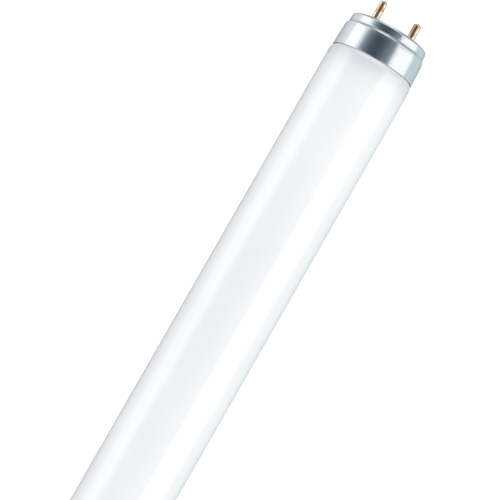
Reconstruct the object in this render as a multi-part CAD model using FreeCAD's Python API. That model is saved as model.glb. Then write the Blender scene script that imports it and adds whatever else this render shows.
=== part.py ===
"""Straight fluorescent lamp tube, 26 mm across, with a two-pin cap cemented on each end.

The tube lies along X with the middle of its axis at the origin, and the two pins of each cap lie
side by side along Y. Every end piece is drawn in its own cap frame: x = 0 is the flat face of the
cap, +x points out along the pins and -x points into the lamp. Profiles are drawn as (x, radius)
and turned about the X axis. Lengths are in millimetres and angles in degrees.
"""

import FreeCAD, Part
import math
import os

# Whole lamp
FACE_TO_FACE = 589.8  # from one cap face to the other, without the pins
TUBE_RADIUS = 13.0

# Drawn aluminium cap shell, stepping in from the tube's radius towards the face
SHELL_WALL = 0.25
CAP_LENGTH = 10.6
MOUTH_STEP = 0.32  # from the tube's radius in to the mouth's
SLEEVE_FLARE = 0.2  # from the mouth's radius in to the sleeve's top
SLEEVE_TOP_DEPTH = 4.5  # from the face to where the lines of sleeve and slope meet
SLEEVE_INSIDE_BEND = 4.0
SLOPE_DEPTH = 3.25  # from the face to where the lines of slope and steep shoulder meet
SLOPE_STEP = 0.22  # from the sleeve's top in to where slope and shoulder meet
SLOPE_INSIDE_BEND = 0.3
GROOVE_DEPTH = 2.6  # from the face to the bottom of the rolled groove
GROOVE_WIDTH = 0.3  # from the lip to the bottom, along the axis
GROOVE_SINK = 0.26  # from the lip in to the bottom
GROOVE_BEND = 0.2
LIP_STEP = 0.55  # from the sleeve's top in to the lip, the band's widest place
LIP_INSIDE_BEND = 0.1
BAND_TAPER = 0.15  # from the lip in to where the lines of band and face meet
FACE_INSIDE_BEND = 0.45

# Glass where it enters the cap, and the hollow stem sealed into its end
CEMENT_GAP = 0.73  # room for cement between the sleeve's mouth and the neck
MOUTH_GAP = 0.1  # between the shoulder's line and the edge of the mouth
SHOULDER_SLOPE = 45.0  # steepest angle of the shoulder against the axis
SHOULDER_OUTER_BEND = 3.0
SHOULDER_INNER_BEND = 1.2
RIM_DEPTH = 4.0  # from the cap face in to the fused rim of the glass
RIM_BEND = 1.2
STEM_RADIUS = 4.6  # inside of the hollow stem
STEM_DEPTH = 20.0  # from the rim in to the pinched bottom of the stem
STEM_BOTTOM_BEND = 2.0
FLARE_BEND = 4.7  # the trumpet mouth of the stem
EXHAUST_RADIUS = 2.1
EXHAUST_ROOT_BEND = 0.3
EXHAUST_TIP_DEPTH = 2.3  # from the rim in to the tipped-off end
EXHAUST_TIP_RADIUS = 0.7
EXHAUST_TAPER = 3.7
EXHAUST_BEND = 3.0

# Moulded insulating disc
DISC_GAP = 0.03  # between the disc's edge and the shell around it
DISC_PLAY = 0.3  # between the disc's back and the lip of the groove that keeps it in
BOSS_RADIUS = 3.2  # rounded ends of the long boss, one round each pin
BOSS_RISE = 0.3  # how far the boss stands proud of the cap face
WINDOW_GAP = 0.1  # between the boss and the window in the shell

# Hollow contact pins
PIN_SPACING = 12.7
PIN_RADIUS = 1.15
PIN_WALL = 0.3
PIN_REACH = 6.6  # from the cap face to the pin's end
PIN_TIP_BEND = 0.7
PIN_BORE_BEND = 0.3
PIN_TIP_WALL = 0.35
COLLAR_WIDTH = 0.7  # from the pin's side out to the collar's edge
COLLAR_THICKNESS = 0.5
RIVET_WIDTH = 0.6  # from the pin's side out to the rivet's edge
RIVET_THICKNESS = 0.35
RIVET_BEND = 0.17
PIN_FIT = 0.02  # radial gap between a pin and its hole

# Lead wires from the stem to the pins' ends
LEAD_RADIUS = 0.25
LEAD_BEND = 2.5
LEAD_SEAL = 2.5  # length held in the pinched glass
LEAD_FIT = 0.03  # radial gap in the hole at the pin's end
LEAD_RISE = 3.6  # length along the axis in which a lead crosses over to its pin
LEAD_STRAIGHT = 1.0  # from the end of the crossing to the back of the pin
BEAD_RADIUS = 0.55  # ball of melted metal that holds the lead's end on the pin's end
BEAD_HEIGHT = 0.22  # how much of the ball stands above the pin's end

# Ring of cement between glass and shell
CEMENT_INSET = 1.6  # from the cap's mouth in to the ring
CEMENT_SETBACK = 0.2  # from the ring to where the glass rounds over to its rim

# Places worked out from the sizes above
HALF_LENGTH = FACE_TO_FACE / 2
MOUTH_RADIUS = TUBE_RADIUS - MOUTH_STEP
SLEEVE_TOP_RADIUS = MOUTH_RADIUS - SLEEVE_FLARE
LIP_RADIUS = SLEEVE_TOP_RADIUS - LIP_STEP
FACE_RADIUS = LIP_RADIUS - BAND_TAPER
NECK_RADIUS = MOUTH_RADIUS - SHELL_WALL - CEMENT_GAP
SLOPE_TANGENT = math.tan(math.radians(SHOULDER_SLOPE))
BARREL_CORNER = -CAP_LENGTH - (MOUTH_STEP + SHELL_WALL + MOUTH_GAP) / SLOPE_TANGENT
NECK_CORNER = BARREL_CORNER + (TUBE_RADIUS - NECK_RADIUS) / SLOPE_TANGENT
STEM_BOTTOM = -(RIM_DEPTH + STEM_DEPTH)
EXHAUST_TIP = -(RIM_DEPTH + EXHAUST_TIP_DEPTH)
DISC_BACK = GROOVE_WIDTH + DISC_PLAY - GROOVE_DEPTH
PIN_BACK = DISC_BACK - RIVET_THICKNESS
PIN_BORE_RADIUS = PIN_RADIUS - PIN_WALL
COLLAR_RADIUS = PIN_RADIUS + COLLAR_WIDTH
RIVET_RADIUS = PIN_RADIUS + RIVET_WIDTH
TIP_HOLE_RADIUS = LEAD_RADIUS + LEAD_FIT
LEAD_OFFSET = (EXHAUST_RADIUS + STEM_RADIUS) / 2  # midway between exhaust tube and stem wall

AXIS = FreeCAD.Vector(1, 0, 0)
ORIGIN = FreeCAD.Vector(0, 0, 0)
SAME_POINT = 1e-7  # points closer than this are one


def at(x, r):
    """Point of a profile, x along the axis and r away from it."""
    return FreeCAD.Vector(x, r, 0)


def turn_at(before, corner, after):
    """Angle in radians by which a path turns at a corner."""
    return (corner - before).getAngle(after - corner)


def rounded_path(points, bends):
    """Edges of a path through the points, with a tangent arc of the given radius at each inner one.

    Where two arcs would need more of a leg than it has, both shrink to fit it.
    """
    reach = [0.0] * len(points)
    for i, bend in enumerate(bends, start=1):
        reach[i] = bend * math.tan(turn_at(*points[i - 1:i + 2]) / 2)
    share = [1.0] * len(points)
    for i in range(len(points) - 1):
        needed = reach[i] + reach[i + 1]
        leg = (points[i + 1] - points[i]).Length
        if needed > leg:
            share[i] = min(share[i], leg / needed)
            share[i + 1] = min(share[i + 1], leg / needed)
    edges = []
    last = points[0]
    for i in range(1, len(points) - 1):
        back = (points[i - 1] - points[i]).normalize()
        onward = (points[i + 1] - points[i]).normalize()
        tangent = reach[i] * share[i]
        start = points[i] + back * tangent
        end = points[i] + onward * tangent
        add_line(edges, last, start)
        if tangent > 0:
            half_turn = turn_at(*points[i - 1:i + 2]) / 2
            radius = tangent / math.tan(half_turn)
            inward = (back + onward).normalize()
            middle = points[i] + inward * radius * (1 / math.cos(half_turn) - 1)
            edges.append(Part.Arc(start, middle, end).toShape())
        last = end
    add_line(edges, last, points[-1])
    return edges


def add_line(edges, start, end):
    """Adds a straight edge unless its ends are one point."""
    if (end - start).Length > SAME_POINT:
        edges.append(Part.LineSegment(start, end).toShape())


def turned(points, bends):
    """Solid of revolution about X of the area inside an outline.

    The outline's inner corners are rounded by the bends. Its first and its last are sharp, and a
    straight edge joins them.
    """
    edges = rounded_path(points, bends)
    add_line(edges, points[-1], points[0])
    return Part.Face(Part.Wire(edges)).revolve(ORIGIN, AXIS, 360)


def turned_corners(corners):
    """Solid of revolution of an outline whose corners are given as (x, r, bend)."""
    return turned([at(x, r) for x, r, _ in corners], [bend for _, _, bend in corners[1:-1]])


def radius_on_line(first, second, x):
    """Radius at x of the straight line through two profile points."""
    return first.y + (second.y - first.y) * (x - first.x) / (second.x - first.x)


def shifted_corners(points, distance):
    """Corners of a path that runs beside an open one, at a distance to its inner side."""
    sides = []
    for first, second in zip(points, points[1:]):
        along = (second - first).normalize()
        inward = FreeCAD.Vector(along.y, -along.x, 0) * -distance
        sides.append((first + inward, along))
    shifted = [sides[0][0]]
    for (p, u), (q, v) in zip(sides, sides[1:]):
        cross = u.x * v.y - u.y * v.x
        step = ((q.x - p.x) * v.y - (q.y - p.y) * v.x) / cross
        shifted.append(p + u * step)
    mouth_x = points[-1].x
    p, u = sides[-1]
    shifted.append(p + u * ((mouth_x - p.x) / u.x))
    return shifted


def shell_corners():
    """Corners of the shell's outside, from the middle of the face to the mouth."""
    return [
        at(0, 0),
        at(0, FACE_RADIUS),
        at(-(GROOVE_DEPTH - GROOVE_WIDTH), LIP_RADIUS),
        at(-GROOVE_DEPTH, LIP_RADIUS - GROOVE_SINK),
        at(-SLOPE_DEPTH, SLEEVE_TOP_RADIUS - SLOPE_STEP),
        at(-SLEEVE_TOP_DEPTH, SLEEVE_TOP_RADIUS),
        at(-CAP_LENGTH, MOUTH_RADIUS),
    ]


def inner_shell_corners():
    """Corners of the shell's inside, from the middle of the face to the mouth."""
    return shifted_corners(shell_corners(), SHELL_WALL)


def shell_hollow():
    """Solid of the space inside the cap shell."""
    bends = [
        FACE_INSIDE_BEND,
        LIP_INSIDE_BEND,
        GROOVE_BEND + SHELL_WALL,
        SLOPE_INSIDE_BEND,
        SLEEVE_INSIDE_BEND,
        0,
    ]
    return turned(inner_shell_corners() + [at(-CAP_LENGTH, 0)], bends)


def cap_shell():
    """Drawn cup of even wall: flat face, band, rolled groove, shoulder, slope and flared sleeve."""
    bends = [
        FACE_INSIDE_BEND + SHELL_WALL,
        LIP_INSIDE_BEND + SHELL_WALL,
        GROOVE_BEND,
        SLOPE_INSIDE_BEND + SHELL_WALL,
        SLEEVE_INSIDE_BEND + SHELL_WALL,
        0,
    ]
    cup = turned(shell_corners() + [at(-CAP_LENGTH, 0)], bends).cut(shell_hollow())
    window = long_plate(BOSS_RADIUS + WINDOW_GAP, -2 * SHELL_WALL, SHELL_WALL)
    return cup.cut(window)


def long_plate(radius, back, front):
    """Plate with two round ends, one round each pin, between two places along the axis."""
    half = PIN_SPACING / 2
    sides = [
        Part.LineSegment(FreeCAD.Vector(back, -half, radius), FreeCAD.Vector(back, half, radius)),
        Part.Arc(
            FreeCAD.Vector(back, half, radius),
            FreeCAD.Vector(back, half + radius, 0),
            FreeCAD.Vector(back, half, -radius),
        ),
        Part.LineSegment(FreeCAD.Vector(back, half, -radius), FreeCAD.Vector(back, -half, -radius)),
        Part.Arc(
            FreeCAD.Vector(back, -half, -radius),
            FreeCAD.Vector(back, -half - radius, 0),
            FreeCAD.Vector(back, -half, radius),
        ),
    ]
    outline = Part.Wire([side.toShape() for side in sides])
    return Part.Face(outline).extrude(AXIS * (front - back))


def pin_places():
    """Centres of the two pins: front is the -Y one."""
    return {
        "front": FreeCAD.Vector(0, -PIN_SPACING / 2, 0),
        "rear": FreeCAD.Vector(0, PIN_SPACING / 2, 0),
    }


def insulator():
    """Disc that fills the band behind the face, with a long boss that shows in the window."""
    _, face_corner, lip = inner_shell_corners()[:3]
    front_radius = radius_on_line(face_corner, lip, -SHELL_WALL) - DISC_GAP
    back_radius = radius_on_line(face_corner, lip, DISC_BACK) - DISC_GAP
    disc = turned_corners([
        (-SHELL_WALL, 0, 0),
        (-SHELL_WALL, front_radius, FACE_INSIDE_BEND),
        (DISC_BACK, back_radius, 0),
        (DISC_BACK, 0, 0),
    ])
    body = disc.fuse(long_plate(BOSS_RADIUS, -SHELL_WALL, BOSS_RISE)).removeSplitter()
    hole_length = BOSS_RISE - DISC_BACK
    for place in pin_places().values():
        hole_start = place + AXIS * DISC_BACK
        body = body.cut(Part.makeCylinder(PIN_RADIUS + PIN_FIT, hole_length, hole_start, AXIS))
        seat_start = place + AXIS * (BOSS_RISE - COLLAR_THICKNESS)
        seat = Part.makeCylinder(COLLAR_RADIUS + PIN_FIT, COLLAR_THICKNESS, seat_start, AXIS)
        body = body.cut(seat)
    return body


def pin():
    """Drawn hollow pin on the X axis: riveted foot, collar sunk flush in the boss, domed end."""
    collar_back = BOSS_RISE - COLLAR_THICKNESS
    return turned_corners([
        (PIN_BACK, PIN_BORE_RADIUS, 0),
        (PIN_BACK, RIVET_RADIUS, RIVET_BEND),
        (DISC_BACK, RIVET_RADIUS, 0),
        (DISC_BACK, PIN_RADIUS, 0),
        (collar_back, PIN_RADIUS, 0),
        (collar_back, COLLAR_RADIUS, 0),
        (BOSS_RISE, COLLAR_RADIUS, 0),
        (BOSS_RISE, PIN_RADIUS, 0),
        (PIN_REACH, PIN_RADIUS, PIN_TIP_BEND),
        (PIN_REACH, TIP_HOLE_RADIUS, 0),
        (PIN_REACH - PIN_TIP_WALL, TIP_HOLE_RADIUS, 0),
        (PIN_REACH - PIN_TIP_WALL, PIN_BORE_RADIUS, PIN_BORE_BEND),
    ])


def lead_wire(side):
    """Lead wire to the pin on one side, -1 or 1: out of the stem and up the pin's bore.

    Its end is melted into a domed bead that sits on the pin's end.
    """
    crossing_end = PIN_BACK - LEAD_STRAIGHT
    stem_y = side * LEAD_OFFSET
    pin_y = side * PIN_SPACING / 2
    start = at(STEM_BOTTOM - LEAD_SEAL, stem_y)
    route = [start, at(crossing_end - LEAD_RISE, stem_y), at(crossing_end, pin_y), at(PIN_REACH, pin_y)]
    section = Part.Face(Part.Wire(Part.makeCircle(LEAD_RADIUS, start, AXIS)))
    wire = Part.Wire(rounded_path(route, [LEAD_BEND, LEAD_BEND])).makePipe(section)
    ball_centre = at(PIN_REACH + BEAD_HEIGHT - BEAD_RADIUS, pin_y)
    dome_start = math.degrees(math.asin(1 - BEAD_HEIGHT / BEAD_RADIUS))
    bead = Part.makeSphere(BEAD_RADIUS, ball_centre, AXIS, dome_start, 90, 360)
    return wire.fuse(bead)


def cement_ring():
    """Ring of set cement that fills the gap between the glass neck and the sleeve."""
    outer_x = CEMENT_INSET - CAP_LENGTH
    length = -(RIM_DEPTH + RIM_BEND + CEMENT_SETBACK) - outer_x
    slice_of_hollow = Part.makeCylinder(TUBE_RADIUS, length, at(outer_x, 0), AXIS).common(shell_hollow())
    return slice_of_hollow.cut(Part.makeCylinder(NECK_RADIUS, length, at(outer_x, 0), AXIS))


def glass_end():
    """Corners of one end of the sealed glass, from the exhaust tube's tip to the barrel."""
    return [
        (EXHAUST_TIP, 0, 0),
        (EXHAUST_TIP, EXHAUST_TIP_RADIUS, EXHAUST_TIP_RADIUS),
        (EXHAUST_TIP - EXHAUST_TAPER, EXHAUST_RADIUS, EXHAUST_BEND),
        (STEM_BOTTOM, EXHAUST_RADIUS, EXHAUST_ROOT_BEND),
        (STEM_BOTTOM, STEM_RADIUS, STEM_BOTTOM_BEND),
        (-RIM_DEPTH, STEM_RADIUS, FLARE_BEND),
        (-RIM_DEPTH, NECK_RADIUS, RIM_BEND),
        (NECK_CORNER, NECK_RADIUS, SHOULDER_INNER_BEND),
        (BARREL_CORNER, TUBE_RADIUS, SHOULDER_OUTER_BEND),
    ]


def glass_tube():
    """Sealed glass tube, drawn solid: barrel, necked ends and the hollow stem in each end."""
    right = [(HALF_LENGTH + x, r, bend) for x, r, bend in glass_end()]
    left = [(-x, r, bend) for x, r, bend in reversed(right)]
    glass = turned_corners(right + left)
    hole_start = HALF_LENGTH + STEM_BOTTOM + STEM_BOTTOM_BEND
    hole_length = STEM_BOTTOM_BEND + LEAD_SEAL
    for end in (-1, 1):
        for side in (-1, 1):
            start = at(end * hole_start, side * LEAD_OFFSET)
            glass = glass.cut(Part.makeCylinder(LEAD_RADIUS, hole_length, start, AXIS * -end))
    return glass


def end_pieces():
    """Every piece of one cap by name, in the cap frame."""
    pieces = {"cap_shell": cap_shell(), "insulator": insulator(), "cement": cement_ring()}
    for name, place in pin_places().items():
        placed_pin = pin()
        placed_pin.translate(place)
        pieces[name + "_pin"] = placed_pin
        pieces[name + "_lead"] = lead_wire(math.copysign(1, place.y))
    return pieces


def lamp_pieces():
    """Every piece of the lamp by name, in place.

    The left cap is the right one turned half round, so its front and rear pieces change names.
    """
    swapped = {"front": "rear", "rear": "front"}
    pieces = {"glass_tube": glass_tube()}
    for name, shape in end_pieces().items():
        right = shape.copy()
        right.translate(AXIS * HALF_LENGTH)
        pieces["right_" + name] = right
        left = right.copy()
        left.rotate(ORIGIN, FreeCAD.Vector(0, 0, 1), 180)
        side, _, rest = name.partition("_")
        left_name = swapped[side] + "_" + rest if side in swapped else name
        pieces["left_" + left_name] = left
    return pieces


def main():
    os.makedirs("parts", exist_ok=True)
    for name, shape in lamp_pieces().items():
        shape.exportStep(os.path.join("parts", name + ".step"))
        print(name, shape.isValid(), len(shape.Solids), round(shape.Volume, 2))


main()
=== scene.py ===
"""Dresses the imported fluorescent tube: its glass, aluminium caps, insulators, pins and lead wires.

The tube lies along X on a pale floor. Every end piece is drawn in its cap's own frame, in
millimetres: x = 0 is the flat face of the cap, +x points out along the pins and -x into the lamp.
A finished piece is then scaled to metres, turned to its end and moved there, all in its mesh.
"""

import logging
import math
from collections.abc import Iterable, Sequence
from dataclasses import dataclass
from enum import Enum

import bmesh
import bpy
from mathutils import Matrix, Vector


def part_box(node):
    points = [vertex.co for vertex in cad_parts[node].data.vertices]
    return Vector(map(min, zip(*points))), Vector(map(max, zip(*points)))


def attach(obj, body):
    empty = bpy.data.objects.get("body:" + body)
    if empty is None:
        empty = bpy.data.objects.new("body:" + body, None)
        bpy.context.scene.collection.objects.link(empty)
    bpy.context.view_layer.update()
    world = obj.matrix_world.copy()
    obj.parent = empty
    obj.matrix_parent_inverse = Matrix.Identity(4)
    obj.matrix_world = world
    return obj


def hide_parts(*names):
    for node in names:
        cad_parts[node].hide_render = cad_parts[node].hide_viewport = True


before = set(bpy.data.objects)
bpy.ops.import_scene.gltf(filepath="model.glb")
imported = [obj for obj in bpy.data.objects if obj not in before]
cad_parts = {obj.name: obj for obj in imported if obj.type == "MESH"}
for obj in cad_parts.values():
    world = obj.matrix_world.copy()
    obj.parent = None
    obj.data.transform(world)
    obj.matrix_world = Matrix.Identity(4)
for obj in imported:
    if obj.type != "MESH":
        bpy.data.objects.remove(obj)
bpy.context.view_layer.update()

LOG = logging.getLogger("fluorescent_tube")
BODY = "root"

MM = 0.001
AXIS = Vector((1, 0, 0))
SAME_POINT = 1e-4  # mm; points closer than this are one
FULL_TURN = 2 * math.pi
SHARP_EDGE = math.radians(28)  # faces that meet at more than this have a sharp edge between them
ARC_STEP = math.radians(5)  # most that one face of a rounded corner turns
ARC_LEAST = 3  # fewest faces of a rounded corner
ROUND_STEPS = 256  # faces round the tube and its caps
PIN_STEPS = 96
WIRE_STEPS = 32


class Side(Enum):
    """A choice of two sides, by the sign of their place."""

    @property
    def word(self) -> str:
        """Name of the side in the names of pieces."""
        return self.name.lower()


class End(Side):
    """The two ends of the lamp, on X."""

    RIGHT = 1
    LEFT = -1


class PinPlace(Side):
    """The two pins of an end, on Y."""

    FRONT = -1
    REAR = 1


@dataclass(frozen=True)
class Corner:
    """A corner of a profile: x along the axis, r away from it, and the radius that rounds it."""

    x: float
    r: float
    bend: float = 0.0


def linear(hex_colour: str) -> tuple[float, float, float, float]:
    """Turns an sRGB colour such as "#E3B27E" into linear RGBA.

    Args:
        hex_colour: the colour as a hash sign and six digits.

    Returns:
        The four linear values, with an alpha of 1.
    """
    digits = hex_colour.lstrip("#")
    shares = [int(digits[i:i + 2], 16) / 255 for i in (0, 2, 4)]
    values = [s / 12.92 if s <= 0.04045 else ((s + 0.055) / 1.055) ** 2.4 for s in shares]
    return (*values, 1.0)


def per_metre(size_mm: float) -> float:
    """Scale of a pattern on Object coordinates whose features are size_mm apart."""
    return 1 / (size_mm * MM)


def facing_out(x: float, y: float) -> Matrix:
    """Place at (x, y) of a round thing whose axis runs along X."""
    return Matrix.Translation((x, y, 0)) @ Matrix.Rotation(math.pi / 2, 4, "Y")


def only(kind: type, parts: Iterable[object]) -> list:
    """Those parts of an operator's result that are of one kind."""
    return [part for part in parts if isinstance(part, kind)]


def add_node(
    tree: bpy.types.NodeTree,
    kind: str,
    inputs: dict[str | int, object] | None = None,
    **settings: object,
) -> bpy.types.Node:
    """Adds a node with its settings, its values and its links.

    Args:
        tree: the node tree that it goes into.
        kind: the node's type, without the leading "ShaderNode".
        inputs: what each input takes, by name or number: an output socket to link, or a value.
        settings: the node's own properties.

    Returns:
        The new node.
    """
    node = tree.nodes.new("ShaderNode" + kind)
    for name, value in settings.items():
        setattr(node, name, value)
    for key, value in (inputs or {}).items():
        if isinstance(value, bpy.types.NodeSocket):
            tree.links.new(value, node.inputs[key])
        else:
            node.inputs[key].default_value = value
    return node


def set_ramp(node: bpy.types.Node, stops: Sequence[tuple[float, str]]) -> None:
    """Gives a colour ramp its stops.

    Args:
        node: the colour ramp.
        stops: each stop's place from 0 to 1 and its sRGB hex colour, in order.
    """
    elements = node.color_ramp.elements
    while len(elements) > len(stops):
        elements.remove(elements[-1])
    while len(elements) < len(stops):
        elements.new(1.0)
    for element, (place, colour) in zip(elements, stops):
        element.position = place
        element.color = linear(colour)


def new_material(name: str) -> tuple[bpy.types.Material, bpy.types.NodeTree, bpy.types.NodeSocket]:
    """Starts a node material.

    Args:
        name: the material's name.

    Returns:
        The material, its emptied node tree with an output node, and its Object coordinates.
    """
    material = bpy.data.materials.new(name)
    material.use_nodes = True
    tree = material.node_tree
    tree.nodes.clear()
    place = add_node(tree, "TexCoord").outputs["Object"]
    return material, tree, place


@dataclass(frozen=True)
class PowderedGlass:
    """Drawn soda-lime glass tube with white lamp powder baked on its inside.

    The eye gets a bright, even white that lies under a clear gloss: soft stripes of reflected
    light with faint lengthwise draw lines, and a greyer white close to the caps, partly where the
    powder is thinner and partly painted shade of the dark cap mouth.
    """

    powder: str = "#F8F9FA"
    powder_cool: str = "#F4F5F8"
    # painted shade: the white greys next to the cap mouth, over thinner powder
    thin_powder_and_painted_shade: Sequence[tuple[float, str]] = (
        (0.0, "#FAFAFA"),
        (0.05, "#EEEFF1"),
        (0.12, "#E1E3E5"),
        (0.25, "#E6E8EA"),
        (0.38, "#EFF0F2"),
        (0.6, "#F9FAFB"),
        (1.0, "#FFFFFF"),
    )  # shares of the fade's length from the mouth, and what the white is multiplied by: thinner powder and painted shade by the cap mouth
    mouth_place: float = 0.0  # m, where the glass leaves the cap, from the lamp's middle
    fade_length: float = 10.0  # mm from the mouth to the even white
    cloud_size: float = 30.0  # mm
    draw_line_width: float = 1.6  # mm
    draw_line_length: float = 260.0  # mm

    def material(self) -> bpy.types.Material:
        """Builds the material.

        Returns:
            The material, to be given to a piece.
        """
        material, tree, place = new_material("powder_coated_soda_lime_glass")
        clouds = add_node(
            tree, "TexNoise", {"Vector": place, "Scale": per_metre(self.cloud_size), "Detail": 2.0}
        )
        white = add_node(tree, "ValToRGB", {"Fac": clouds.outputs["Fac"]})
        set_ramp(white, [(0.35, self.powder_cool), (0.65, self.powder)])
        along = add_node(tree, "SeparateXYZ", {"Vector": place})
        from_middle = add_node(tree, "Math", {0: along.outputs["X"]}, operation="ABSOLUTE")
        fade = add_node(
            tree,
            "MapRange",
            {
                "Value": from_middle.outputs["Value"],
                "From Min": self.mouth_place,
                "From Max": self.mouth_place - self.fade_length * MM,
            },
        )
        # thinner powder and painted shade towards the cap mouth
        thinned_and_shaded = add_node(tree, "ValToRGB", {"Fac": fade.outputs["Result"]})
        set_ramp(thinned_and_shaded, self.thin_powder_and_painted_shade)
        colour = add_node(
            tree,
            "Mix",
            {"Factor": 1.0, "A": white.outputs["Color"], "B": thinned_and_shaded.outputs["Color"]},
            data_type="RGBA",
            blend_type="MULTIPLY",
        )
        stretched = add_node(
            tree,
            "Mapping",
            {"Vector": place, "Scale": (self.draw_line_width / self.draw_line_length, 1.0, 1.0)},
        )
        lines = add_node(
            tree,
            "TexNoise",
            {
                "Vector": stretched.outputs["Vector"],
                "Scale": per_metre(self.draw_line_width),
                "Detail": 1.0,
            },
        )
        bump = add_node(
            tree, "Bump", {"Height": lines.outputs["Fac"], "Strength": 0.04, "Distance": 0.02 * MM}
        )
        shader = add_node(
            tree,
            "BsdfPrincipled",
            {
                "Base Color": colour.outputs["Result"],
                "Roughness": 0.55,
                "IOR": 1.5,
                "Coat Weight": 1.0,
                "Coat Roughness": 0.07,
                "Coat IOR": 1.95,
                "Coat Normal": bump.outputs["Normal"],
            },
        )
        add_node(tree, "OutputMaterial", {"Surface": shader.outputs["BSDF"]})
        return material


@dataclass(frozen=True)
class DrawnAluminium:
    """Bright-rolled aluminium sheet, deep-drawn to a cup.

    The eye gets a slightly blue mirror whose edges are a little soft: faint streaks run along the
    draw, the sleeve waves a little, and tiny pits dull it.
    """

    metal: str = "#DEE3E7"
    metal_dull: str = "#D5DADE"
    roughness: float = 0.13
    roughness_dull: float = 0.24
    streak_width: float = 0.5  # mm, coarser than the real 0.05 so that it shows
    streak_length: float = 9.0  # mm
    wave_size: float = 9.0  # mm
    pit_size: float = 0.35  # mm

    def material(self) -> bpy.types.Material:
        """Builds the material.

        Returns:
            The material, to be given to a piece.
        """
        material, tree, place = new_material("deep_drawn_aluminium")
        stretched = add_node(
            tree,
            "Mapping",
            {"Vector": place, "Scale": (self.streak_width / self.streak_length, 1.0, 1.0)},
        )
        streaks = add_node(
            tree,
            "TexNoise",
            {
                "Vector": stretched.outputs["Vector"],
                "Scale": per_metre(self.streak_width),
                "Detail": 3.0,
            },
        )
        waves = add_node(
            tree, "TexNoise", {"Vector": place, "Scale": per_metre(self.wave_size), "Detail": 1.0}
        )
        pits = add_node(
            tree, "TexNoise", {"Vector": place, "Scale": per_metre(self.pit_size), "Detail": 2.0}
        )
        colour = add_node(tree, "ValToRGB", {"Fac": streaks.outputs["Fac"]})
        set_ramp(colour, [(0.3, self.metal_dull), (0.7, self.metal)])
        roughness = add_node(
            tree,
            "MapRange",
            {
                "Value": pits.outputs["Fac"],
                "From Min": 0.35,
                "From Max": 0.75,
                "To Min": self.roughness,
                "To Max": self.roughness_dull,
            },
        )
        wave_bump = add_node(
            tree, "Bump", {"Height": waves.outputs["Fac"], "Strength": 0.25, "Distance": 0.1 * MM}
        )
        streak_bump = add_node(
            tree,
            "Bump",
            {
                "Height": streaks.outputs["Fac"],
                "Strength": 0.08,
                "Distance": 0.01 * MM,
                "Normal": wave_bump.outputs["Normal"],
            },
        )
        shader = add_node(
            tree,
            "BsdfPrincipled",
            {
                "Base Color": colour.outputs["Color"],
                "Metallic": 1.0,
                "Roughness": roughness.outputs["Result"],
                "Normal": streak_bump.outputs["Normal"],
            },
        )
        add_node(tree, "OutputMaterial", {"Surface": shader.outputs["BSDF"]})
        return material


@dataclass(frozen=True)
class WireMetal:
    """Drawn metal of a pin or wire.

    The eye gets a satin mirror in the metal's own colour with a darker film in cloudy patches and
    fine lines along the draw.
    """

    name: str
    metal: str
    film: str
    roughness: float
    roughness_of_film: float = 0.12  # how much rougher the film is
    line_width: float = 0.12  # mm
    line_length: float = 3.0  # mm
    patch_size: float = 1.6  # mm

    def material(self) -> bpy.types.Material:
        """Builds the material.

        Returns:
            The material, to be given to a piece.
        """
        material, tree, place = new_material(self.name)
        stretched = add_node(
            tree,
            "Mapping",
            {"Vector": place, "Scale": (self.line_width / self.line_length, 1.0, 1.0)},
        )
        lines = add_node(
            tree,
            "TexNoise",
            {
                "Vector": stretched.outputs["Vector"],
                "Scale": per_metre(self.line_width),
                "Detail": 2.0,
            },
        )
        patches = add_node(
            tree, "TexNoise", {"Vector": place, "Scale": per_metre(self.patch_size), "Detail": 3.0}
        )
        colour = add_node(tree, "ValToRGB", {"Fac": patches.outputs["Fac"]})
        set_ramp(colour, [(0.38, self.film), (0.58, self.metal)])
        roughness = add_node(
            tree,
            "MapRange",
            {
                "Value": patches.outputs["Fac"],
                "From Min": 0.3,
                "From Max": 0.7,
                "To Min": self.roughness + self.roughness_of_film,
                "To Max": self.roughness,
            },
        )
        bump = add_node(
            tree, "Bump", {"Height": lines.outputs["Fac"], "Strength": 0.15, "Distance": 0.01 * MM}
        )
        shader = add_node(
            tree,
            "BsdfPrincipled",
            {
                "Base Color": colour.outputs["Color"],
                "Metallic": 1.0,
                "Roughness": roughness.outputs["Result"],
                "Normal": bump.outputs["Normal"],
            },
        )
        add_node(tree, "OutputMaterial", {"Surface": shader.outputs["BSDF"]})
        return material


@dataclass(frozen=True)
class GrainySolid:
    """Moulded or cast stuff with a grain: phenolic resin with wood flour, or set cement.

    The eye gets one dull colour with fine darker and lighter specks of filler and a surface that
    is a little uneven at the size of the grain.
    """

    name: str
    body: str
    speck: str
    roughness: float
    grain_size: float  # mm
    relief: float  # mm
    roughness_spread: float = 0.06

    def material(self) -> bpy.types.Material:
        """Builds the material.

        Returns:
            The material, to be given to a piece.
        """
        material, tree, place = new_material(self.name)
        grain = add_node(
            tree, "TexNoise", {"Vector": place, "Scale": per_metre(self.grain_size), "Detail": 4.0}
        )
        colour = add_node(tree, "ValToRGB", {"Fac": grain.outputs["Fac"]})
        set_ramp(colour, [(0.36, self.speck), (0.52, self.body)])
        roughness = add_node(
            tree,
            "MapRange",
            {
                "Value": grain.outputs["Fac"],
                "From Min": 0.3,
                "From Max": 0.7,
                "To Min": self.roughness - self.roughness_spread,
                "To Max": self.roughness + self.roughness_spread,
            },
        )
        bump = add_node(
            tree,
            "Bump",
            {"Height": grain.outputs["Fac"], "Strength": 0.3, "Distance": self.relief * MM},
        )
        shader = add_node(
            tree,
            "BsdfPrincipled",
            {
                "Base Color": colour.outputs["Color"],
                "Roughness": roughness.outputs["Result"],
                "Normal": bump.outputs["Normal"],
            },
        )
        add_node(tree, "OutputMaterial", {"Surface": shader.outputs["BSDF"]})
        return material


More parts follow.
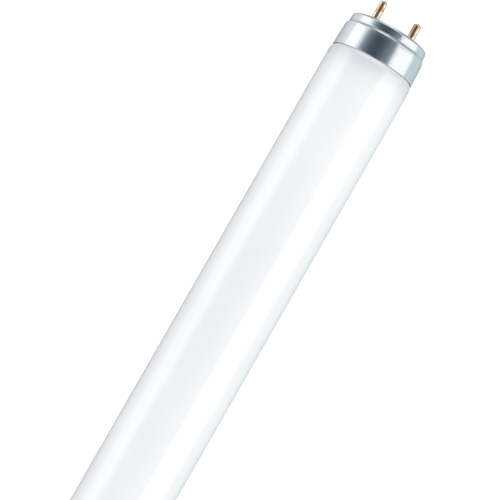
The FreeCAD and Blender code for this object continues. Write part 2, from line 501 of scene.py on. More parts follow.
class Form:
    """A piece being shaped: in millimetres in its cap's frame, or a studio thing's in metres."""

    def __init__(self) -> None:
        """Starts with an empty mesh."""
        self.mesh = bmesh.new()

    def draw(self, corners: Sequence[Corner], closed: bool = False) -> None:
        """Draws a profile in the plane of x and y and rounds its corners.

        Args:
            corners: the profile's corners, in order.
            closed: whether an edge joins the last corner to the first.
        """
        points = [self.mesh.verts.new((c.x, c.r, 0)) for c in corners]
        for first, second in zip(points, points[1:]):
            self.mesh.edges.new((first, second))
        if closed:
            self.mesh.edges.new((points[-1], points[0]))
        places = [p.co.copy() for p in points]
        for i, corner in enumerate(corners):
            if corner.bend <= 0:
                continue
            before = (places[i] - places[i - 1]).normalized()
            after = (places[(i + 1) % len(places)] - places[i]).normalized()
            turn = before.angle(after)
            offset = corner.bend * math.tan(turn / 2)
            faces = max(ARC_LEAST, math.ceil(turn / ARC_STEP))
            self.round_off([points[i]], "VERTICES", offset, faces)

    def turn(self, steps: int) -> list[bmesh.types.BMVert]:
        """Turns every loose edge of the mesh a full round about the X axis.

        Args:
            steps: how many faces the round has.

        Returns:
            The vertices of the turned surface.
        """
        edges = [e for e in self.mesh.edges if e.is_wire]
        points = {v for e in edges for v in e.verts}
        others = set(self.mesh.verts) - points
        bmesh.ops.spin(
            self.mesh,
            geom=[*points, *edges],
            cent=(0, 0, 0),
            axis=AXIS,
            angle=FULL_TURN,
            steps=steps,
            use_merge=True,
        )
        return [v for v in self.mesh.verts if v not in others]

    def run(self, rim: list[bmesh.types.BMEdge], step: Vector) -> list[bmesh.types.BMEdge]:
        """Draws a rim out along a straight line.

        Args:
            rim: the edges of the rim.
            step: how far and which way.

        Returns:
            The edges of the new rim.
        """
        made = bmesh.ops.extrude_edge_only(self.mesh, edges=rim)["geom"]
        points = set(only(bmesh.types.BMVert, made))
        bmesh.ops.translate(self.mesh, verts=list(points), vec=step)
        return [e for e in only(bmesh.types.BMEdge, made) if points.issuperset(e.verts)]

    def curve(
        self, rim: list[bmesh.types.BMEdge], centre: Vector, angle: float
    ) -> list[bmesh.types.BMEdge]:
        """Draws a rim round a bend in the plane of x and y.

        Args:
            rim: the edges of the rim.
            centre: the middle of the bend.
            angle: how far it turns, in radians.

        Returns:
            The edges of the new rim.
        """
        last = bmesh.ops.spin(
            self.mesh,
            geom=rim,
            cent=centre,
            axis=(0, 0, 1),
            angle=angle,
            steps=max(ARC_LEAST, math.ceil(abs(angle) / ARC_STEP)),
        )["geom_last"]
        return only(bmesh.types.BMEdge, last)

    def round_off(self, parts: list, affect: str, offset: float, faces: int) -> None:
        """Rounds corners of a profile or sharp edges of a surface.

        Args:
            parts: the vertices or edges.
            affect: VERTICES or EDGES.
            offset: how far the rounding reaches from them.
            faces: how many faces the rounding has.
        """
        bmesh.ops.bevel(
            self.mesh,
            geom=parts,
            offset=offset,
            offset_type="OFFSET",
            affect=affect,
            segments=faces,
            profile=0.5,
            material=-1,
        )

    def merge(self) -> None:
        """Joins points that lie on each other, such as a pole's, and turns faces outwards."""
        bmesh.ops.remove_doubles(self.mesh, verts=self.mesh.verts, dist=SAME_POINT)
        bmesh.ops.recalc_face_normals(self.mesh, faces=self.mesh.faces)

    def rims_at(self, x: float) -> list[bmesh.types.BMEdge]:
        """Finds the open edges of the mesh that lie in a plane across the axis.

        Args:
            x: the plane's place.

        Returns:
            The edges.
        """
        return [
            e
            for e in self.mesh.edges
            if (e.is_boundary or e.is_wire) and all(abs(v.co.x - x) < SAME_POINT for v in e.verts)
        ]

    def place(self, name: str, material: bpy.types.Material) -> bpy.types.Object:
        """Puts the shaped mesh into the scene, which ends the shaping.

        Args:
            name: the object's name.
            material: its finish.

        Returns:
            The new object.
        """
        mesh = bpy.data.meshes.new(name)
        self.mesh.to_mesh(mesh)
        self.mesh.free()
        mesh.materials.append(material)
        thing = bpy.data.objects.new(name, mesh)
        bpy.context.scene.collection.objects.link(thing)
        return thing


def finish_piece(
    form: Form,
    name: str,
    material: bpy.types.Material,
    end: End,
    face_place: float,
    replaced: Sequence[str],
) -> None:
    """Moves a shaped piece to its end of the lamp and dresses it.

    Args:
        form: the piece, in millimetres in its cap's frame.
        name: the piece's name.
        material: its finish.
        end: the end of the lamp.
        face_place: how far the cap's face is from the lamp's middle, in metres.
        replaced: the CAD nodes that it stands for.
    """
    turn = Matrix.Rotation(0 if end is End.RIGHT else math.pi, 4, "Z")
    move = Matrix.Translation(AXIS * face_place)
    form.mesh.transform(turn @ move @ Matrix.Scale(MM, 4))
    piece = form.place(name, material)
    mesh = piece.data
    mesh.shade_smooth()
    mesh.set_sharp_from_angle(angle=SHARP_EDGE)
    even = piece.modifiers.new("even_shading", "WEIGHTED_NORMAL")
    even.keep_sharp = True
    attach(piece, BODY)
    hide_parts(*replaced)
    triangles = sum(len(p.vertices) - 2 for p in mesh.polygons)
    LOG.info("%s: %d triangles, for %s", name, triangles, ", ".join(replaced))


def dress_node(node: str, material: bpy.types.Material) -> None:
    """Gives a CAD node that stays its finish.

    Args:
        node: the node's name in the frame.
        material: its finish.
    """
    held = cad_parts[node].data
    held.materials.clear()
    held.materials.append(material)
    LOG.info("%s: kept from the frame, %s", node, material.name)


@dataclass(frozen=True)
class CapSizes:
    """Sizes of one cap, in millimetres, with x measured from the cap's face."""

    mouth_radius: float
    length: float
    sleeve_flare: float = 0.2  # from the mouth's radius in to the sleeve's top
    lip_step: float = 0.55  # from there in to the lip, the band's widest place
    band_taper: float = 0.15  # from there in to the face
    wall: float = 0.25
    groove_depth: float = 2.6
    groove_width: float = 0.3
    groove_sink: float = 0.26
    slope_depth: float = 3.38
    slope_step: float = 0.13
    sleeve_top_depth: float = 4.5
    face_bend: float = 0.9
    lip_bend: float = 0.35
    groove_bend: float = 0.2
    slope_bend: float = 0.4
    sleeve_bend: float = 5.0
    mouth_edge: float = 0.12  # rounded outer edge of the mouth
    mouth_edge_faces: int = 3

    @property
    def sleeve_top_radius(self) -> float:
        """Radius at the top of the sleeve."""
        return self.mouth_radius - self.sleeve_flare

    @property
    def lip_radius(self) -> float:
        """Radius of the lip above the groove."""
        return self.sleeve_top_radius - self.lip_step

    @property
    def face_radius(self) -> float:
        """Radius at which the lines of band and face meet."""
        return self.lip_radius - self.band_taper


@dataclass(frozen=True)
class PinSizes:
    """Sizes of a hollow contact pin, in millimetres, with x measured from the cap's face."""

    spacing: float = 12.7  # between the two pins' axes
    radius: float = 1.15
    bore: float = 0.85  # radius of the hollow
    reach: float = 6.6
    tip_bend: float = 0.7
    bore_bend: float = 0.3
    tip_wall: float = 0.35
    tip_hole: float = 0.28
    collar_radius: float = 1.85
    collar_thickness: float = 0.5
    collar_bend: float = 0.06
    rivet_radius: float = 1.75
    rivet_thickness: float = 0.35
    rivet_bend: float = 0.17
    fit: float = 0.02  # room round the pin in its hole


@dataclass(frozen=True)
class InsulatorSizes:
    """Sizes of the moulded disc and its long boss, in millimetres from the cap's face."""

    boss_radius: float = 3.2
    boss_rise: float = 0.3
    boss_edge: float = 0.12
    boss_edge_faces: int = 4
    front_radius: float = 11.516
    front_bend: float = 0.65
    back: float = -2.0
    back_radius: float = 11.63


@dataclass(frozen=True)
class LeadSizes:
    """Sizes and route of a lead wire, in millimetres from the cap's face."""

    radius: float = 0.25
    bend: float = 2.5
    start: float = -26.5  # inside the pinched glass of the stem
    offset: float = 3.35  # from the lamp's axis, in the stem
    rise: float = 3.6  # length along the axis of the slanted run
    straight: float = 1.0  # from there to the pin's foot
    bead_radius: float = 0.55
    bead_height: float = 0.22


@dataclass(frozen=True)
class Finishes:
    """The lamp's materials, made once and shared by both ends."""

    aluminium: bpy.types.Material
    brass: bpy.types.Material
    wire: bpy.types.Material
    phenolic: bpy.types.Material
    cement: bpy.types.Material


@dataclass
class LampEnd:
    """One end of the lamp: cap shell, insulator, pins, lead wires and cement."""

    end: End
    face_place: float
    cap: CapSizes
    pins: PinSizes = PinSizes()
    disc: InsulatorSizes = InsulatorSizes()
    lead: LeadSizes = LeadSizes()
    window_radius: float = 3.3
    surround_radius: float = 10.2  # on the flat of the face, outside the window

    def node(self, piece: str) -> str:
        """Name of one of this end's pieces in the frame."""
        return f"{self.end.word}_{piece}"

    def pin_y(self, place: PinPlace) -> float:
        """Where a pin stands on Y in the cap's frame, turned half round at the left end."""
        return place.value * self.end.value * self.pins.spacing / 2

    def finish(
        self, form: Form, piece: str, material: bpy.types.Material, node: str
    ) -> None:
        """Finishes a piece of this end.

        Args:
            form: the piece, in millimetres in the cap's frame.
            piece: its name without the end's.
            material: its finish.
            node: the CAD node that it stands for, without the end's name.
        """
        nodes = [self.node(node)]
        finish_piece(form, self.node(piece), material, self.end, self.face_place, nodes)

    def long_loop(self, form: Form, x: float, radius: float) -> list[bmesh.types.BMEdge]:
        """Draws an outline with two round ends, one round each pin.

        Args:
            form: the piece that gets it.
            x: its plane.
            radius: radius of its ends.

        Returns:
            Its edges.
        """
        ring = bmesh.ops.create_circle(
            form.mesh, segments=ROUND_STEPS, radius=radius, matrix=facing_out(x, 0)
        )["verts"]
        for sign in (-1, 1):
            half = [v for v in ring if v.co.y * sign > SAME_POINT]
            bmesh.ops.translate(form.mesh, verts=half, vec=(0, sign * self.pins.spacing / 2, 0))
        return list({e for v in ring for e in v.link_edges})

    def shell(self, material: bpy.types.Material) -> None:
        """Builds the drawn cup: face with its window, band, groove, shoulder and flared sleeve.

        Args:
            material: its finish.
        """
        cap = self.cap
        form = Form()
        form.draw([
            Corner(0, self.surround_radius),
            Corner(0, cap.face_radius, cap.face_bend),
            Corner(cap.groove_width - cap.groove_depth, cap.lip_radius, cap.lip_bend),
            Corner(-cap.groove_depth, cap.lip_radius - cap.groove_sink, cap.groove_bend),
            Corner(-cap.slope_depth, cap.sleeve_top_radius - cap.slope_step, cap.slope_bend),
            Corner(-cap.sleeve_top_depth, cap.sleeve_top_radius, cap.sleeve_bend),
            Corner(-cap.length, cap.mouth_radius),
        ])
        form.turn(ROUND_STEPS)
        form.merge()
        surround = form.rims_at(0)
        window = self.long_loop(form, 0, self.window_radius)
        bmesh.ops.triangle_fill(form.mesh, edges=surround + window, use_beauty=True)
        form.merge()
        bmesh.ops.solidify(form.mesh, geom=form.mesh.faces, thickness=cap.wall)
        widest = cap.mouth_radius - SAME_POINT
        at_mouth = [v for v in form.mesh.verts if abs(v.co.x + cap.length) < SAME_POINT]
        outside = {v for v in at_mouth if v.co.yz.length > widest}
        mouth_edges = [e for e in form.mesh.edges if outside.issuperset(e.verts)]
        form.round_off(mouth_edges, "EDGES", cap.mouth_edge, cap.mouth_edge_faces)
        self.finish(form, "drawn_shell", material, "cap_shell")

    def insulator(self, material: bpy.types.Material) -> None:
        """Builds the moulded disc: a boss that fills the window, and a stepped hole for each pin.

        Args:
            material: its finish.
        """
        disc = self.disc
        pins = self.pins
        seat = disc.boss_rise - pins.collar_thickness
        form = Form()
        for place in PinPlace:
            form.draw([
                Corner(disc.boss_rise, pins.collar_radius + pins.fit),
                Corner(seat, pins.collar_radius + pins.fit),
                Corner(seat, pins.radius + pins.fit),
                Corner(disc.back, pins.radius + pins.fit),
            ])
            hole = form.turn(PIN_STEPS)
            bmesh.ops.translate(form.mesh, verts=hole, vec=(0, self.pin_y(place), 0))
        form.draw([
            Corner(-self.cap.wall, self.surround_radius),
            Corner(-self.cap.wall, disc.front_radius, disc.front_bend),
            Corner(disc.back, disc.back_radius),
        ])
        form.turn(ROUND_STEPS)
        surround = form.rims_at(-self.cap.wall)
        foot = self.long_loop(form, -self.cap.wall, disc.boss_radius)
        bmesh.ops.triangle_fill(form.mesh, edges=surround + foot, use_beauty=True)
        top_edges = form.run(foot, Vector((disc.boss_rise + self.cap.wall, 0, 0)))
        for x in (disc.boss_rise, disc.back):
            bmesh.ops.triangle_fill(form.mesh, edges=form.rims_at(x), use_beauty=True)
        form.round_off(top_edges, "EDGES", disc.boss_edge, disc.boss_edge_faces)
        form.merge()
        self.finish(form, "insulator_disc", material, "insulator")

    def pin(self, place: PinPlace, material: bpy.types.Material) -> None:
        """Builds a hollow pin: riveted foot, collar flush in the boss, domed end with a hole.

        Args:
            place: which of the end's two pins.
            material: its finish.
        """
        pins = self.pins
        disc = self.disc
        foot = disc.back - pins.rivet_thickness
        seat = disc.boss_rise - pins.collar_thickness
        bore_end = pins.reach - pins.tip_wall
        form = Form()
        form.draw(
            [
                Corner(foot, pins.bore),
                Corner(foot, pins.rivet_radius, pins.rivet_bend),
                Corner(disc.back, pins.rivet_radius),
                Corner(disc.back, pins.radius),
                Corner(seat, pins.radius),
                Corner(seat, pins.collar_radius),
                Corner(disc.boss_rise, pins.collar_radius, pins.collar_bend),
                Corner(disc.boss_rise, pins.radius),
                Corner(pins.reach, pins.radius, pins.tip_bend),
                Corner(pins.reach, pins.tip_hole),
                Corner(bore_end, pins.tip_hole),
                Corner(bore_end, pins.bore, pins.bore_bend),
            ],
            closed=True,
        )
        form.turn(PIN_STEPS)
        form.merge()
        bmesh.ops.translate(form.mesh, verts=form.mesh.verts, vec=(0, self.pin_y(place), 0))
        self.finish(form, place.word + "_contact_pin", material, place.word + "_pin")

    def lead_wire(self, place: PinPlace, material: bpy.types.Material) -> None:
        """Builds a lead wire, out of the glass stem and up the pin to a melted bead on its end.

        Args:
            place: which of the end's two pins it serves.
            material: its finish.
        """
        lead = self.lead
        pins = self.pins
        pin_y = self.pin_y(place)
        stem_y = math.copysign(lead.offset, pin_y)
        crossing_end = self.disc.back - pins.rivet_thickness - lead.straight
        crossing_start = crossing_end - lead.rise
        slant = math.atan2(pin_y - stem_y, lead.rise)
        reach = lead.bend * math.tan(abs(slant) / 2)
        form = Form()
        start = facing_out(lead.start, stem_y)
        ring = bmesh.ops.create_circle(
            form.mesh, segments=WIRE_STEPS, radius=lead.radius, matrix=start
        )["verts"]
        bmesh.ops.contextual_create(form.mesh, geom=ring)
        rim = list({e for v in ring for e in v.link_edges})
        side = math.copysign(1, slant)
        first_centre = Vector((crossing_start - reach, stem_y + side * lead.bend, 0))
        second_centre = Vector((crossing_end + reach, pin_y - side * lead.bend, 0))
        slanted = math.hypot(lead.rise, pin_y - stem_y) - 2 * reach
        rim = form.run(rim, Vector((crossing_start - reach - lead.start, 0, 0)))
        rim = form.curve(rim, first_centre, slant)
        rim = form.run(rim, Vector((math.cos(slant), math.sin(slant), 0)) * slanted)
        rim = form.curve(rim, second_centre, -slant)
        rim = form.run(rim, Vector((pins.reach - crossing_end - reach, 0, 0)))
        ball_x = pins.reach + lead.bead_height - lead.bead_radius
        ball = bmesh.ops.create_uvsphere(
            form.mesh,
            u_segments=WIRE_STEPS,
            v_segments=WIRE_STEPS,
            radius=lead.bead_radius,
            matrix=facing_out(ball_x, pin_y),
        )["verts"]
        ball_parts = {part for v in ball for part in (v, *v.link_edges, *v.link_faces)}
        cut = bmesh.ops.bisect_plane(
            form.mesh,
            geom=list(ball_parts),
            dist=SAME_POINT,
            plane_co=(pins.reach, 0, 0),
            plane_no=AXIS,
            clear_inner=True,
        )["geom_cut"]
        bead_rim = only(bmesh.types.BMEdge, cut)
        bmesh.ops.triangle_fill(form.mesh, edges=rim + bead_rim, use_beauty=True)
        form.merge()
        self.finish(form, place.word + "_lead_wire", material, place.word + "_lead")

    def build(self, finishes: Finishes) -> None:
        """Builds every piece of this end.

        Args:
            finishes: the lamp's materials.
        """
        self.shell(finishes.aluminium)
        self.insulator(finishes.phenolic)
        for place in PinPlace:
            self.pin(place, finishes.brass)
            self.lead_wire(place, finishes.wire)
        dress_node(self.node("cement"), finishes.cement)


@dataclass
class GlassTube:
    """The sealed glass: barrel, necked ends and the hollow stem in each end."""

    half_length: float  # mm, from the middle to a cap's face
    radius: float
    neck_radius: float = 11.7
    neck_corner: float = -9.97
    barrel_corner: float = -11.27
    shoulder_outer_bend: float = 3.0
    shoulder_inner_bend: float = 1.2
    rim_depth: float = 4.0
    rim_bend: float = 1.2
    stem_radius: float = 4.6
    stem_bottom: float = -24.0
    stem_bottom_bend: float = 2.0
    flare_bend: float = 4.7
    exhaust_radius: float = 2.1
    exhaust_root_bend: float = 0.3
    exhaust_tip: float = -6.3
    exhaust_tip_radius: float = 0.7
    exhaust_tip_bend: float = 0.686  # a little under the radius, to keep clear of the axis
    exhaust_taper: float = 3.7
    exhaust_bend: float = 3.0

    def end_corners(self) -> list[Corner]:
        """Lists the corners of one end.

        Returns:
            The corners, from the exhaust tube's tip to the barrel.
        """
        return [
            Corner(self.exhaust_tip, 0),
            Corner(self.exhaust_tip, self.exhaust_tip_radius, self.exhaust_tip_bend),
            Corner(self.exhaust_tip - self.exhaust_taper, self.exhaust_radius, self.exhaust_bend),
            Corner(self.stem_bottom, self.exhaust_radius, self.exhaust_root_bend),
            Corner(self.stem_bottom, self.stem_radius, self.stem_bottom_bend),
            Corner(-self.rim_depth, self.stem_radius, self.flare_bend),
            Corner(-self.rim_depth, self.neck_radius, self.rim_bend),
            Corner(self.neck_corner, self.neck_radius, self.shoulder_inner_bend),
            Corner(self.barrel_corner, self.radius, self.shoulder_outer_bend),
        ]

    def build(self, material: bpy.types.Material) -> None:
        """Turns the glass from its profile and dresses it.

        Args:
            material: the powder-coated glass.
        """
        right = self.end_corners()
        left = [Corner(-2 * self.half_length - c.x, c.r, c.bend) for c in reversed(right)]
        form = Form()
        form.draw(right + left)
        form.turn(ROUND_STEPS)
        form.merge()
        finish_piece(
            form,
            "glass_envelope",
            material,
            End.RIGHT,
            self.half_length * MM,
            ["glass_tube"],
        )


@dataclass
class PhotoCamera:
    """A camera at the photograph's angle: from beside the tube, a little behind the cap."""

    tilt: float = math.radians(9.3)  # how far the view leans back towards the body of the tube
    lean: float = math.radians(25)  # how far it leans from above towards +Y
    tube_slope: float = math.radians(60.21)  # the tube's angle in the picture
    pixels_per_mm: float = 3.538
    face_pixel: tuple[float, float] = (390.2, 33.2)  # where the middle of the cap's face shows
    picture_width: float = 500.0  # pixels
    lens: float = 1000.0  # mm, long, as the tube's edges are parallel in the photograph
    sensor: float = 36.0  # mm

    def build(self, face_centre: Vector) -> None:
        """Places the camera so that the cap's face shows at its pixel.

        Args:
            face_centre: the middle of the cap's face, in metres.
        """
        back = Vector((
            -math.sin(self.tilt),
            math.cos(self.tilt) * math.sin(self.lean),
            math.cos(self.tilt) * math.cos(self.lean),
        ))
        along = (AXIS - back * AXIS.dot(back)).normalized()
        across = (-back).cross(along)
        right = along * math.cos(self.tube_slope) + across * math.sin(self.tube_slope)
        up = along * math.sin(self.tube_slope) - across * math.cos(self.tube_slope)
        per_m = self.pixels_per_mm / MM
        distance = self.picture_width * self.lens / self.sensor / per_m
        aside = (self.face_pixel[0] - self.picture_width / 2) / per_m
        above = (self.picture_width / 2 - self.face_pixel[1]) / per_m
        data = bpy.data.cameras.new("photo_camera")
        data.lens = self.lens
        data.sensor_width = self.sensor
        data.clip_end = 100.0
        camera = bpy.data.objects.new("photo_camera", data)
        bpy.context.scene.collection.objects.link(camera)
        place = face_centre + back * distance - right * aside - up * above
        turn = Matrix((right, up, back)).transposed().to_4x4()
        camera.matrix_world = Matrix.Translation(place) @ turn
        bpy.context.scene.camera = camera
        LOG.info("camera: %.2f m from the cap", distance)


@dataclass
class Studio:
    """A pale floor, surroundings with a dark ceiling, two soft lights and a pale card.

    Only mirrors see the ceiling, the ends, the card and the glow beside the lamp. They draw the
    dark middle, the white zones and the grey edge of the polished caps.
    """

    floor_height: float
    floor_half: float = 30.0  # m, half of the floor's side
    floor_paint: str = "#B6B8BA"
    camera_glow: float = 0.78  # what the floor adds for the camera, so that it shows white
    floor_glow_painted_shadow: Sequence[tuple[float, str]] = (
        (8.0, "#000000"),
        (17.0, "#A8A8A8"),
        (32.5, "#BEBEBE"),
        (36.5, "#F6F6F6"),
    )  # mm from under the lamp's axis, and what the floor adds there in mirrors; the dark stops near the axis are a painted shadow of the lamp
    floor_glow_painted_shadow_reach: float = 60.0  # mm
    beside_fade: tuple[float, float] = (0.25, 0.6)  # way past the face over way aside: it fades, a painted shade on the floor in mirrors just past the lamp's end
    ahead_fade: tuple[float, float] = (2.0, 4.0)  # the same: the glow ahead of the lamp comes up
    ahead_glow: float = 0.5
    ahead_width: float = 5.0  # mm, of the strip ahead of the lamp's middle
    lamp_end: float = 0.295  # m from the middle, where the lamp's face stands
    light_level: float = 0.95  # of the even light from all round
    ceiling: Sequence[tuple[float, str]] = (
        (-11.0, "#FFFFFF"),
        (-7.0, "#95A1A9"),
        (0.0, "#84919A"),
        (15.0, "#66747E"),
        (28.0, "#4A5761"),
        (38.0, "#414E58"),
        (50.0, "#4A5761"),
        (62.0, "#65727B"),
        (74.0, "#909BA2"),
        (79.0, "#B3BCC1"),
        (83.0, "#F6F8F9"),
        (86.0, "#FFFFFF"),
    )  # degrees from straight up towards +Y, and the colour that mirrors show there
    ends: Sequence[tuple[float, str]] = (
        (-12.0, "#A9B2B8"),
        (-5.0, "#F4FAFD"),
        (80.0, "#F4FAFD"),
        (90.0, "#A9B2B8"),
    )  # the same, for what lies past the lamp's right end
    ends_reach: tuple[float, float] = (0.44, 0.68)  # a direction's X, where they start and are full
    soft_light_spread: float = math.radians(25.5)  # half of the angle that the tube sees it fill
    soft_light_distance: float = 1.2  # m
    soft_light_length: float = 1.5  # m
    card_colour: str = "#DCECF0"
    # painted shade: the card darkens towards its foot beside the tube
    card_foot_painted_shade: str = "#B9C6CB"
    card_distance: float = 0.085  # m
    card_top: float = math.radians(66)  # from straight up, as the tube sees the card's top edge
    card_foot: float = 0.02  # m from the tube's middle
    card_past_cap: float = 0.04  # m
    card_lift: float = 0.001  # m, of the card's foot above the floor

    def shown(self, tree: bpy.types.NodeTree) -> tuple[bpy.types.NodeSocket, bpy.types.NodeSocket]:
        """Tells rays that see the background from rays that only light the object.

        Args:
            tree: the node tree that asks.

        Returns:
            1 for a ray from the camera, and 1 for one that was mirrored or let through.
        """
        path = add_node(tree, "LightPath")
        mirrored = add_node(
            tree,
            "Math",
            {0: path.outputs["Is Glossy Ray"], 1: path.outputs["Is Transmission Ray"]},
            operation="ADD",
            use_clamp=True,
        )
        return path.outputs["Is Camera Ray"], mirrored.outputs["Value"]

    def add_stage(self, form: Form, name: str, material: bpy.types.Material) -> bpy.types.Object:
        """Adds a thing of the studio that isn't part of the lamp.

        Args:
            form: its shape, in metres.
            name: its name.
            material: its finish.

        Returns:
            The new object.
        """
        thing = form.place(name, material)
        return thing

    def floor(self) -> None:
        """Lays the floor, white to the eye and in reflections, with the lamp's shadow on it; in
        reflections its glow also paints a shadow under the lamp and a shade just past its end.
        """
        material, tree, place = new_material("studio_floor")
        camera, mirrored = self.shown(tree)
        across = add_node(tree, "SeparateXYZ", {"Vector": place})
        aside = add_node(tree, "Math", {0: across.outputs["Y"]}, operation="ABSOLUTE")
        reach = self.floor_glow_painted_shadow_reach
        share = add_node(
            tree, "Math", {0: aside.outputs["Value"], 1: reach * MM}, operation="DIVIDE"
        )
        # painted shadow: in mirrors the floor's glow drops to nothing under the lamp
        glow_with_painted_shadow = add_node(tree, "ValToRGB", {"Fac": share.outputs["Value"]})
        set_ramp(glow_with_painted_shadow, [(aside_mm / reach, colour) for aside_mm, colour in self.floor_glow_painted_shadow])
        past_end = add_node(
            tree, "Math", {0: across.outputs["X"], 1: self.lamp_end}, operation="SUBTRACT"
        )
        width = add_node(
            tree, "Math", {0: aside.outputs["Value"], 1: self.ahead_width * MM}, operation="ADD"
        )
        ahead = add_node(
            tree,
            "Math",
            {0: past_end.outputs["Value"], 1: width.outputs["Value"]},
            operation="DIVIDE",
        )
        beside = add_node(
            tree,
            "MapRange",
            {
                "Value": ahead.outputs["Value"],
                "From Min": self.beside_fade[0],
                "From Max": self.beside_fade[1],
                "To Min": 1.0,
                "To Max": 0.0,
            },
        )
        ahead_glow = add_node(
            tree,
            "MapRange",
            {
                "Value": ahead.outputs["Value"],
                "From Min": self.ahead_fade[0],
                "From Max": self.ahead_fade[1],
                "To Max": self.ahead_glow,
            },
        )
        mirror_glow = add_node(
            tree,
            "Math",
            {
                0: glow_with_painted_shadow.outputs["Color"],
                1: beside.outputs["Result"],
                2: ahead_glow.outputs["Result"],
            },
            operation="MULTIPLY_ADD",
        )
        camera_glow = add_node(tree, "Math", {0: camera, 1: self.camera_glow}, operation="MULTIPLY")
        glow = add_node(
            tree,
            "Math",
            {0: mirrored, 1: mirror_glow.outputs["Value"], 2: camera_glow.outputs["Value"]},
            operation="MULTIPLY_ADD",
        )
        shader = add_node(
            tree,
            "BsdfPrincipled",
            {
                "Base Color": linear(self.floor_paint),
                "Roughness": 1.0,
                "Specular IOR Level": 0.0,
                "Emission Color": linear("#FFFFFF"),
                "Emission Strength": glow.outputs["Value"],
            },
        )
        add_node(tree, "OutputMaterial", {"Surface": shader.outputs["BSDF"]})
        floor = Form()
        bmesh.ops.create_grid(floor.mesh, x_segments=1, y_segments=1, size=self.floor_half)
        bmesh.ops.translate(floor.mesh, verts=floor.mesh.verts, vec=(0, 0, self.floor_height))
        self.add_stage(floor, "studio_floor", material)

    def surroundings(self) -> None:
        """Makes the world: white to the eye, with a dark ceiling that only reflections show."""
        world = bpy.data.worlds.new("studio")
        bpy.context.scene.world = world
        world.use_nodes = True
        tree = world.node_tree
        tree.nodes.clear()
        camera, mirrored = self.shown(tree)
        direction = add_node(tree, "TexCoord").outputs["Generated"]
        part = add_node(tree, "SeparateXYZ", {"Vector": direction})
        lean = add_node(
            tree, "Math", {0: part.outputs["Y"], 1: part.outputs["Z"]}, operation="ARCTAN2"
        )
        share = add_node(
            tree,
            "MapRange",
            {"Value": lean.outputs["Value"], "From Min": -math.pi, "From Max": math.pi},
        )
        seen = []
        for stops in (self.ceiling, self.ends):
            ramp = add_node(tree, "ValToRGB", {"Fac": share.outputs["Result"]})
            set_ramp(ramp, [(degrees / 360 + 0.5, colour) for degrees, colour in stops])
            seen.append(ramp.outputs["Color"])
        end_share = add_node(
            tree,
            "MapRange",
            {
                "Value": part.outputs["X"],
                "From Min": self.ends_reach[0],
                "From Max": self.ends_reach[1],
            },
        )
        mirrored_colour = add_node(
            tree,
            "Mix",
            {"Factor": end_share.outputs["Result"], "A": seen[0], "B": seen[1]},
            data_type="RGBA",
        )
        unseen_colour = add_node(
            tree,
            "Mix",
            {
                "Factor": mirrored,
                "A": (self.light_level, self.light_level, self.light_level, 1.0),
                "B": mirrored_colour.outputs["Result"],
            },
            data_type="RGBA",
        )
        colour = add_node(
            tree,
            "Mix",
            {"Factor": camera, "A": unseen_colour.outputs["Result"], "B": linear("#FFFFFF")},
            data_type="RGBA",
        )
        background = add_node(
            tree, "Background", {"Color": colour.outputs["Result"], "Strength": 1.0}
        )
        add_node(tree, "OutputWorld", {"Surface": background.outputs["Background"]})

    def soft_light(self, name: str, lean_degrees: float, watts: float, mirrored: bool) -> None:
        """Hangs a long soft light along the tube.

        Args:
            name: its name.
            lean_degrees: how far it leans from straight up towards +Y.
            watts: its power.
            mirrored: whether reflections show it.
        """
        lean = math.radians(lean_degrees)
        distance = self.soft_light_distance
        light = bpy.data.lights.new(name, "AREA")
        light.shape = "RECTANGLE"
        light.size = self.soft_light_length
        light.size_y = 2 * distance * math.tan(self.soft_light_spread)
        light.energy = watts
        lamp = bpy.data.objects.new(name, light)
        bpy.context.scene.collection.objects.link(lamp)
        lamp.location = (0, distance * math.sin(lean), distance * math.cos(lean))
        lamp.rotation_euler = (-lean, 0, 0)
        lamp.visible_camera = False
        lamp.visible_glossy = mirrored

    def edge_card(self) -> None:
        """Stands a bent pale card beside the tube, whose mirror image is the cap's grey edge; it
        darkens towards its foot, a painted shade of the tube.
        """
        material, tree, place = new_material("pale_card")
        across = add_node(tree, "SeparateXYZ", {"Vector": place})
        foot = add_node(
            tree,
            "MapRange",
            {
                "Value": across.outputs["Y"],
                "From Min": -self.card_distance,
                "From Max": -self.card_foot,
            },
        )
        colour = add_node(
            tree,
            "Mix",
            {
                "Factor": foot.outputs["Result"],
                "A": linear(self.card_colour),
                "B": linear(self.card_foot_painted_shade),
            },
            data_type="RGBA",
        )
        shader = add_node(tree, "Emission", {"Color": colour.outputs["Result"], "Strength": 1.0})
        add_node(tree, "OutputMaterial", {"Surface": shader.outputs["Emission"]})
        foot_height = self.floor_height + self.card_lift
        top = self.card_distance / math.tan(self.card_top)
        half = self.lamp_end + self.card_past_cap
        card = Form()
        bend = [
            card.mesh.verts.new((-half, -self.card_distance, top)),
            card.mesh.verts.new((-half, -self.card_distance, foot_height)),
            card.mesh.verts.new((-half, -self.card_foot, foot_height)),
        ]
        edges = [card.mesh.edges.new(pair) for pair in zip(bend, bend[1:])]
        card.run(edges, Vector((2 * half, 0, 0)))
        thing = self.add_stage(card, "pale_card", material)
        thing.visible_camera = False
        thing.visible_diffuse = False
        thing.visible_shadow = False

    def build(self) -> None:
        """Sets up the whole studio."""
        self.floor()
        self.surroundings()
        self.soft_light("soft_light", lean_degrees=-41, watts=1.9, mirrored=True)
        self.soft_light("fill_light", lean_degrees=60, watts=3.0, mirrored=False)
        self.edge_card()


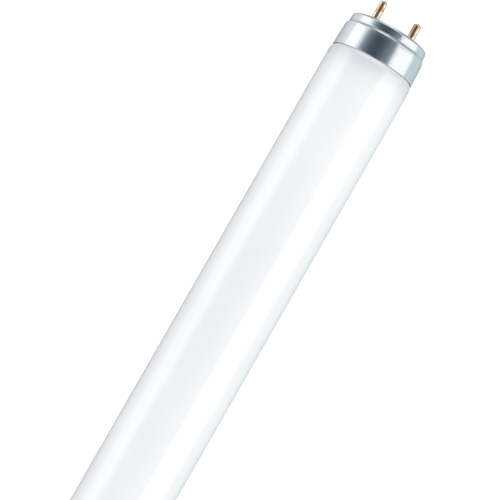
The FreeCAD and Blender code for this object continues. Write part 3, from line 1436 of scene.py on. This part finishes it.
def main() -> None:
    """Builds the lamp, the studio and the camera."""
    logging.basicConfig(level=logging.INFO, format="%(name)s: %(message)s")
    bpy.context.scene.view_settings.view_transform = "Standard"
    glass_low, glass_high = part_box("glass_tube")
    shell_low, shell_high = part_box("right_cap_shell")
    face_place = shell_high.x
    PhotoCamera().build(Vector((face_place, 0, 0)))
    Studio(floor_height=glass_low.z).build()
    tube = GlassTube(half_length=face_place / MM, radius=glass_high.z / MM)
    tube.build(PowderedGlass(mouth_place=shell_low.x).material())
    finishes = Finishes(
        aluminium=DrawnAluminium().material(),
        brass=WireMetal(
            name="drawn_brass", metal="#F5DDC3", film="#D19D6E", roughness=0.18
        ).material(),
        wire=WireMetal(
            name="nickel_iron_wire", metal="#B9B5AE", film="#8D8881", roughness=0.3
        ).material(),
        phenolic=GrainySolid(
            name="moulded_phenolic",
            body="#5B3A26",
            speck="#3A2417",
            roughness=0.42,
            grain_size=0.25,
            relief=0.01,
        ).material(),
        cement=GrainySolid(
            name="set_cement",
            body="#D8CFBF",
            speck="#B5AA97",
            roughness=0.9,
            grain_size=0.4,
            relief=0.03,
        ).material(),
    )
    cap = CapSizes(mouth_radius=shell_high.y / MM, length=(shell_high.x - shell_low.x) / MM)
    for end in End:
        LampEnd(end=end, face_place=face_place, cap=cap).build(finishes)


if __name__ == "__main__":
    main()
